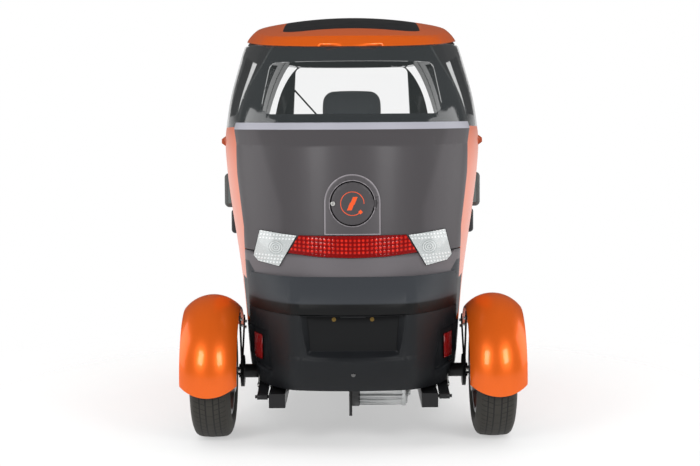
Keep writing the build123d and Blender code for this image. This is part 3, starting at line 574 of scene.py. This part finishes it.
# Finish, the CAD nodes that wear it and how far their skin lies under the CAD face
NODE_FINISHES = [
    ("orange", 0, ["side_panels", "nose_panel", "roof", "rear_fender_left", "rear_fender_right",
                   "front_mudguard", "door_panel_left", "door_panel_right"]),
    ("grey", 0, ["rear_panel", "rear_apron"]),
    ("surround", 0, ["charge_port_surround"]),
    ("flap", 0, ["charge_flap"]),
    ("bumper", 0, ["rear_bumper"]),
    ("plastic", 0.0002, ["rockers", "luggage_tub", "front_wheel_well", "seat_frame", "dashboard",
                         "charge_socket", "battery_pack", "floor_pan"]),
    ("seal", 0, ["wiper"]),
    ("gloss", 0.0006, ["cabin_frame_rear", "cabin_frame_front", "door_frame_left", "door_frame_right"]),
    ("roof_black", 0, ["roof_panel"]),
    ("mirror", 0, ["mirrors"]),
    ("handle", 0, ["door_fittings_left", "door_fittings_right"]),
    ("rear_tread_left", 0, ["rear_tyre_left"]),
    ("rear_tread_right", 0, ["rear_tyre_right"]),
    ("front_tread", 0, ["front_tyre"]),
    ("steel", 0, ["frame", "rear_axle", "leaf_springs", "front_fork", "door_hinge_pins"]),
    ("alloy", 0, ["rear_rim_left", "rear_rim_right", "front_rim"]),
    ("motor", 0, ["drive_motor"]),
    ("glass", 0, ["quarter_glass", "door_glass_left", "door_glass_right"]),
    ("screen", 0, ["rear_glass", "windscreen"]),
    ("red", 0, ["tail_light_bar"]),
    ("reflector", 0, ["rear_reflectors"]),
    ("clear", 0, ["tail_lamps"]),
    ("headlamp", 0, ["headlamps"]),
]

# Glass that is shown as one sheet
PANES = ["rear_glass", "quarter_glass", "windscreen", "door_glass_left", "door_glass_right"]

# Padded pieces: CAD node, where its sewn channels run and the most a point may swell.
# Channels are (axis, place) in metres.
PADS = [
    ("seat_cushion", [(0, -0.125), (0, 0.125), (1, -0.08)], 0.016),
    ("seat_back", [(0, -0.125), (0, 0.125), (2, 0.80), (2, 0.98)], 0.016),
    ("headrest", [(0, -0.07), (0, 0.07)], 0.010),
]
PAD_INSET = 0.005
PAD_VOXEL = 0.006
PAD_PRESSURE = 4.0
PAD_FRAMES = 20
CHANNEL_HALF = 0.0035

# Lamps: name, place, what it points at, width, height in metres and watts
LAMPS = [
    ("overhead", (0, 0.5, 5.0), (0, 0.5, 0), 8.0, 8.0, 170),
    ("left_behind", (-2.6, -5.0, 2.6), (0, -0.8, 0.6), 1.4, 1.8, 100),
    ("right_behind", (2.6, -5.0, 2.6), (0, -0.8, 0.6), 1.4, 1.8, 100),
    ("left_side", (-5.0, 0.0, 2.0), (0, 0, 0.8), 3.5, 3.0, 70),
    ("right_side", (5.0, 0.0, 2.0), (0, 0, 0.8), 3.5, 3.0, 70),
    ("ahead", (0, 6.0, 3.0), (0, 0, 0.8), 3.5, 3.0, 80),
]
NOT_MIRRORED = ("overhead", "ahead")


def dress(piece, finish):
    piece.data.materials.clear()
    piece.data.materials.append(MATERIALS[finish])


def clear_selection():
    bpy.ops.object.select_all(action="DESELECT")


def only(piece):
    """Makes one piece the selected and active one."""
    clear_selection()
    piece.select_set(True)
    bpy.context.view_layer.objects.active = piece


def body_of(node):
    """Name of the moving body that a CAD node belongs to."""
    return frame["nodes"][node]["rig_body"]


def edit_all(piece):
    """Opens a piece for editing with all of it selected."""
    only(piece)
    bpy.ops.object.mode_set(mode="EDIT")
    bpy.ops.mesh.select_all(action="SELECT")


def merged_copy(node, name):
    """Copy of a CAD node's mesh with its doubled points merged."""
    source = frame["nodes"][node]
    piece = source.copy()
    piece.data = source.data.copy()
    piece.name = name
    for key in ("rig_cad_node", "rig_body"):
        if key in piece:
            del piece[key]
    piece.parent = None
    piece.hide_render = piece.hide_viewport = False
    bpy.context.scene.collection.objects.link(piece)
    edit_all(piece)
    bpy.ops.mesh.remove_doubles(threshold=MERGE_WITHIN)
    bpy.ops.object.mode_set(mode="OBJECT")
    return piece


def fatten(piece, distance):
    """Moves each face out along its normal, or in where the distance is negative."""
    edit_all(piece)
    bpy.ops.transform.shrink_fatten(value=distance)
    bpy.ops.object.mode_set(mode="OBJECT")


def smooth(piece, angle=30):
    """Smooth shading up to an angle, led by the large faces."""
    only(piece)
    bpy.ops.object.shade_smooth_by_angle(angle=radians(angle))
    modify(piece, "WEIGHTED_NORMAL", mode="FACE_AREA", keep_sharp=True)


def modify(piece, kind, **settings):
    """Adds a modifier with these settings and applies it."""
    modifier = piece.modifiers.new("step", kind)
    for key, value in settings.items():
        setattr(modifier, key, value)
    only(piece)
    bpy.ops.object.modifier_apply(modifier=modifier.name)


def outer_faces(piece):
    """Keeps the faces of a pane that look away from the cabin, so it shows as one sheet."""
    cabin_middle = Vector((0, 0, 1.0))
    for face in piece.data.polygons:
        face.select = face.normal.dot(face.center - cabin_middle) < 0.02
    for part in (piece.data.vertices, piece.data.edges):
        part.foreach_set("select", [False] * len(part))
    only(piece)
    bpy.ops.object.mode_set(mode="EDIT")
    bpy.context.tool_settings.mesh_select_mode = (False, False, True)
    bpy.ops.mesh.delete(type="FACE")
    bpy.ops.object.mode_set(mode="OBJECT")


def crisp_ledge(piece):
    """Cuts the panel off under its top and draws it up again: out to a crease, then in under the glass."""
    only(piece)
    bpy.ops.object.mode_set(mode="EDIT")
    bpy.context.tool_settings.mesh_select_mode = (True, False, False)
    bpy.ops.mesh.select_all(action="SELECT")
    bpy.ops.mesh.bisect(plane_co=(0, 0, LEDGE_START), plane_no=(0, 0, 1), clear_outer=True,
                        threshold=0.00001)
    bpy.ops.mesh.select_all(action="DESELECT")
    bpy.ops.mesh.select_non_manifold(extend=False)
    middle = Vector((0, -0.30, LEDGE_START))
    for rise, widen in LEDGE_STEPS:
        bpy.ops.mesh.extrude_region_move(TRANSFORM_OT_translate={"value": (0, 0, rise)})
        bpy.ops.transform.resize(value=(widen, widen, 1), center_override=middle)
    bpy.ops.mesh.edge_face_add()
    bpy.ops.object.mode_set(mode="OBJECT")


def stand_for(node, finish, sink):
    """Smooth-shaded skin that is shown in place of a CAD node."""
    piece = merged_copy(node, node + "_skin")
    if node in PANES:
        outer_faces(piece)
    if sink:
        fatten(piece, -sink)
    if node == "rear_panel":
        crisp_ledge(piece)
    smooth(piece)
    dress(piece, finish)
    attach(piece, body_of(node))
    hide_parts(node)
    return piece


def place_piece(piece, name, finish, body):
    """Fixes a new piece's place in its mesh and lets it ride on a body."""
    only(piece)
    bpy.ops.object.transform_apply(location=True, rotation=True, scale=True)
    piece.name = name
    smooth(piece)
    dress(piece, finish)
    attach(piece, body)
    return piece


def join_all(pieces):
    """Joins the pieces into the first one."""
    clear_selection()
    for piece in pieces:
        piece.select_set(True)
    bpy.context.view_layer.objects.active = pieces[0]
    if len(pieces) > 1:
        bpy.ops.object.join()
    return pieces[0]


# Turn that lays a cylinder along an axis, and the way its outer end looks
TURNS = {"X": (0, pi / 2, 0), "Y": (pi / 2, 0, 0), "Z": (0, 0, 0)}
OUTWARD = {"X": Vector((1, 0, 0)), "Y": Vector((0, -1, 0)), "Z": Vector((0, 0, 1))}
SIDES = ((1, "right"), (-1, "left"))


def disc(place, axis, radius, depth, sides=24, bevel=0.0):
    """Round piece along an axis, with its rims eased."""
    bpy.ops.mesh.primitive_cylinder_add(vertices=sides, radius=radius, depth=depth, location=place,
                                        rotation=TURNS[axis])
    piece = bpy.context.object
    if bevel:
        modify(piece, "BEVEL", width=bevel, segments=2, limit_method="ANGLE")
    return piece


def slab(place, size, bevel=0.0):
    """Box of a size at a place, with its edges eased."""
    bpy.ops.mesh.primitive_cube_add(size=1, location=place, scale=size)
    piece = bpy.context.object
    only(piece)
    bpy.ops.object.transform_apply(location=False, rotation=False, scale=True)
    if bevel:
        modify(piece, "BEVEL", width=bevel, segments=2)
    return piece


def bolt_head(place, axis, radius, height, washer):
    """Hexagon head on a washer, as two discs."""
    spot = Vector(place)
    base = disc(spot, axis, radius * washer, height * 0.3, 20)
    head = disc(spot + OUTWARD[axis] * height * 0.5, axis, radius, height, 6, radius * 0.12)
    return [base, head]


def padded_piece(node, channels, limit):
    """Cushion swollen by a cloth simulation, held along its sewn channels."""
    piece = merged_copy(node, node + "_pad")
    fatten(piece, -PAD_INSET)
    modify(piece, "REMESH", mode="VOXEL", voxel_size=PAD_VOXEL)
    start = [vertex.co.copy() for vertex in piece.data.vertices]
    held = piece.vertex_groups.new(name="channels")
    for axis, where in channels:
        near = [v.index for v in piece.data.vertices if abs(v.co[axis] - where) < CHANNEL_HALF]
        held.add(near, 1.0, "REPLACE")
    cloth = piece.modifiers.new("swell", "CLOTH")
    cloth.settings.use_pressure = True
    cloth.settings.uniform_pressure_force = PAD_PRESSURE
    cloth.settings.quality = 4
    cloth.settings.vertex_group_mass = "channels"
    cloth.settings.effector_weights.gravity = 0
    cloth.point_cache.frame_start = 1
    cloth.point_cache.frame_end = PAD_FRAMES
    for step in range(1, PAD_FRAMES + 1):
        bpy.context.scene.frame_set(step)
    only(piece)
    bpy.ops.object.modifier_apply(modifier="swell")
    bpy.context.scene.frame_set(1)
    for vertex, rest in zip(piece.data.vertices, start):
        move = vertex.co - rest
        if move.length > limit:
            vertex.co = rest + move * (limit / move.length)
    modify(piece, "SUBSURF", levels=1, render_levels=1)
    only(piece)
    bpy.ops.object.shade_smooth()
    dress(piece, "fabric")
    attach(piece, body_of(node))
    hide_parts(node)


def roof_seal():
    """Black lining that closes the gap between the roof's edge and the window frames."""
    piece = merged_copy("roof", "roof_seal")
    fatten(piece, -SEAL_INSET)
    only(piece)
    bpy.ops.transform.translate(value=(0, 0, -SEAL_DROP))
    place_piece(piece, "roof_seal", "seal", "chassis")


def lamp_gaskets():
    """Black rubber lines that frame the lamps and the light bar."""
    for node in ("tail_lamps", "tail_light_bar", "headlamps"):
        piece = merged_copy(node, node + "_gasket")
        fatten(piece, GASKET_WIDTH)
        only(piece)
        forward = -GASKET_SETBACK if node == "headlamps" else GASKET_SETBACK
        bpy.ops.transform.translate(value=(0, forward, 0))
        place_piece(piece, node + "_gasket", "seal", body_of(node))


def flap_lock():
    """Round key lock near the flap's left edge."""
    lock_x = -0.0705
    barrel = disc((lock_x, FLAP_FACE_Y + 0.004, FLAP_HEIGHT), "Y", 0.0085, 0.010, 32, 0.002)
    slot = slab((lock_x, FLAP_FACE_Y - 0.0012, FLAP_HEIGHT), (0.0016, 0.002, 0.008))
    place_piece(barrel, "flap_lock", "zinc", "charge_flap")
    place_piece(slot, "flap_lock_slot", "seal", "charge_flap")


def socket_pins():
    """Contacts of the charging socket behind the flap."""
    face_y, ring, count = -1.0585, 0.015, 6
    pieces = [disc((0.0, face_y, FLAP_HEIGHT), "Y", 0.0042, 0.006, 20, 0.0006)]
    for i in range(count):
        angle = 2 * pi * i / count
        place = (ring * cos(angle), face_y, FLAP_HEIGHT + ring * sin(angle))
        pieces.append(disc(place, "Y", 0.0032, 0.006, 20, 0.0006))
    place_piece(join_all(pieces), "socket_pins", "brass", "chassis")


def bumper_fasteners():
    """Two plate screws, the screw in the bumper's chin and the plate lamp."""
    screws = []
    for x in (-0.069, 0.069):
        screws += bolt_head((x, PLATE_FLOOR_Y - 0.0015, 0.486), "Y", 0.0045, 0.004, 1.7)
    place_piece(join_all(screws), "plate_screws", "brass", "chassis")
    chin = join_all(bolt_head((0.0, -1.1660, 0.290), "Y", 0.0050, 0.004, 1.6))
    place_piece(chin, "chin_screw", "dull_steel", "chassis")
    lamp = slab((0.0, -1.145, 0.499), (0.09, 0.022, 0.008), 0.002)
    place_piece(lamp, "plate_lamp", "plastic", "chassis")


def wheel_fasteners():
    """Nuts, cap and valve on each rear wheel, bolts on the fender arms."""
    wheel_x, wheel_y, wheel_z = REAR_WHEEL
    rim_face = wheel_x + 0.045
    nut_ring, arm_face = 0.033, 0.419
    for side, name in SIDES:
        body = "rear_wheel_" + name
        nuts = []
        for i in range(4):
            angle = pi / 4 + i * pi / 2
            y, z = wheel_y + nut_ring * cos(angle), wheel_z + nut_ring * sin(angle)
            nuts.append(disc((side * rim_face, y, z), "X", 0.0075, 0.012, 6, 0.0008))
        place_piece(join_all(nuts), "wheel_nuts_" + name, "zinc", body)
        cap = disc((side * (rim_face + 0.003), wheel_y, wheel_z), "X", 0.020, 0.016, 32, 0.004)
        place_piece(cap, "hub_cap_" + name, "plastic", body)
        valve = disc((side * rim_face, wheel_y, wheel_z + 0.138), "X", 0.0035, 0.034, 12, 0.0008)
        place_piece(valve, "valve_" + name, "seal", body)
        bolts = []
        for angle in (10, 70, 130):
            for far in (0.222, 0.196):
                turn = radians(180 - angle)
                y, z = wheel_y + far * cos(turn), wheel_z + far * sin(turn)
                bolts.append(disc((side * arm_face, y, z), "X", 0.0065, 0.008, 6, 0.0008))
        place_piece(join_all(bolts), "fender_bolts_" + name, "zinc", "chassis")


def spring_clamps():
    """Two clamps with nuts and a plate that tie each leaf spring to the axle."""
    axle_y, spring_x = REAR_WHEEL[1], 0.334
    for side, name in SIDES:
        pieces = []
        for y in (axle_y - 0.032, axle_y + 0.032):
            for x in (spring_x - 0.023, spring_x + 0.023):
                pieces.append(disc((side * x, y, 0.232), "Z", 0.004, 0.10, 12))
                pieces.append(disc((side * x, y, 0.196), "Z", 0.0075, 0.008, 6, 0.0006))
            pieces.append(slab((side * spring_x, y, 0.279), (0.054, 0.009, 0.009), 0.002))
        pieces.append(slab((side * spring_x, axle_y, 0.203), (0.062, 0.09, 0.006), 0.001))
        place_piece(join_all(pieces), "spring_clamps_" + name, "zinc", "chassis")


def motor_fasteners():
    """Bolts round the motor's end flange."""
    flange_x, ring, count = 0.1965, 0.077, 8
    pieces = []
    for i in range(count):
        angle = 2 * pi * i / count
        y, z = MOTOR_MIDDLE[0] + ring * cos(angle), MOTOR_MIDDLE[1] + ring * sin(angle)
        pieces.append(disc((flange_x, y, z), "X", 0.005, 0.006, 6, 0.0006))
    place_piece(join_all(pieces), "motor_bolts", "zinc", "chassis")


def grips():
    """Rubber grips with end flanges, and brake levers ahead of them."""
    y, z = GRIP_AXIS
    for side, name in SIDES:
        sleeve = disc((side * 0.240, y, z), "X", 0.0172, 0.118, 28, 0.002)
        flange = disc((side * 0.185, y, z), "X", 0.023, 0.006, 28, 0.002)
        rings = [disc((side * (0.20 + 0.012 * i), y, z), "X", 0.0182, 0.004, 28, 0.001)
                 for i in range(7)]
        place_piece(join_all([sleeve, flange] + rings), "grip_" + name, "seal", "steering")
        lever = slab((side * 0.225, y + 0.036, z - 0.004), (0.13, 0.008, 0.012), 0.003)
        clamp = disc((side * 0.165, y, z), "X", 0.0165, 0.022, 24, 0.002)
        arm = slab((side * 0.165, y + 0.02, z - 0.002), (0.014, 0.04, 0.012), 0.003)
        place_piece(join_all([lever, clamp, arm]), "brake_lever_" + name, "steel", "steering")


def mirror_faces():
    """Silvered glass in the rear face of each mirror head."""
    for side, name in SIDES:
        glass = slab((side * 0.549, 0.4612, 0.870), (0.062, 0.003, 0.122), 0.0012)
        place_piece(glass, "mirror_face_" + name, "mirror_glass", "chassis")


def dashboard_face():
    """Display pane on the dashboard, towards the seat."""
    pane = slab((0.0, 0.6672, DISPLAY_HEIGHT + 0.008), (0.19, 0.004, 0.052), 0.0015)
    place_piece(pane, "display", "display", "chassis")


def floor():
    """Pale floor that keeps the car's soft shadow and fades away around it."""
    bpy.ops.mesh.primitive_plane_add(size=60, location=(0, 0, -0.001))
    plane = bpy.context.object
    plane.name = "studio_floor"
    finish = Finish("studio_floor", (0.9, 0.9, 0.9), 0.9)
    x, y, z = finish.axes()
    finish.set("Alpha", 0.55 * (1 - reach(x, y + 0.1).ramp(0.9, 2.3)))
    plane.data.materials.append(finish.material)


def hang(name, place, turn, data):
    """Puts a lamp or a camera in the scene."""
    holder = bpy.data.objects.new(name, data)
    holder.location = place
    holder.rotation_euler = turn
    bpy.context.scene.collection.objects.link(holder)
    return holder


def lamps():
    for name, place, target, wide, high, watts in LAMPS:
        lamp = bpy.data.lights.new(name, "AREA")
        lamp.shape = "RECTANGLE"
        lamp.size, lamp.size_y = wide, high
        lamp.energy = watts
        away = Vector(target) - Vector(place)
        holder = hang(name, place, away.to_track_quat("-Z", "Y").to_euler(), lamp)
        holder.visible_glossy = name not in NOT_MIRRORED


def surroundings():
    """White to the camera, in glass and in low reflections, dim above, and half as bright as a light."""
    world = bpy.data.worlds.new("studio")
    bpy.context.scene.world = world
    world.use_nodes = True
    tree = world.node_tree
    tree.nodes.remove(tree.nodes["Background"])

    def glow(strength):
        made = tree.nodes.new("ShaderNodeBackground")
        made.inputs["Color"].default_value = WHITE
        made.inputs["Strength"].default_value = strength
        return made.outputs[0]

    def blend(factor, first, second):
        made = tree.nodes.new("ShaderNodeMixShader")
        for slot, socket in zip(made.inputs, (factor.socket, first, second)):
            tree.links.new(socket, slot)
        return made.outputs[0]

    ray = tree.nodes.new("ShaderNodeLightPath")
    glossy = Signal(tree, ray.outputs["Is Glossy Ray"])
    seen = Signal(tree, ray.outputs["Is Camera Ray"]).highest(glossy)
    seen = seen.highest(Signal(tree, ray.outputs["Is Transmission Ray"]))
    way = tree.nodes.new("ShaderNodeTexCoord")
    split = tree.nodes.new("ShaderNodeSeparateXYZ")
    tree.links.new(way.outputs["Generated"], split.inputs[0])
    high = Signal(tree, split.outputs["Z"]).ramp(-0.05, 0.06) * glossy
    shown = blend(high, glow(1.0), glow(0.10))
    result = blend(seen, glow(0.5), shown)
    tree.links.new(result, tree.nodes["World Output"].inputs["Surface"])


def photograph_camera():
    lens = bpy.data.cameras.new("camera")
    lens.lens = LENS_MM
    lens.sensor_width = SENSOR_MM
    lens.sensor_fit = "HORIZONTAL"
    lens.shift_x = CAMERA_SHIFT
    turn = (radians(90 - CAMERA_PITCH), radians(CAMERA_ROLL), 0)
    bpy.context.scene.camera = hang("camera", CAMERA_PLACE, turn, lens)
    bpy.context.scene.view_settings.view_transform = "Standard"


for finish_name, sink, node_names in NODE_FINISHES:
    for node_name in node_names:
        stand_for(node_name, finish_name, sink)
for pad in PADS:
    padded_piece(*pad)
roof_seal()
lamp_gaskets()
flap_lock()
socket_pins()
bumper_fasteners()
wheel_fasteners()
spring_clamps()
motor_fasteners()
grips()
mirror_faces()
dashboard_face()
floor()
lamps()
surroundings()
photograph_camera()
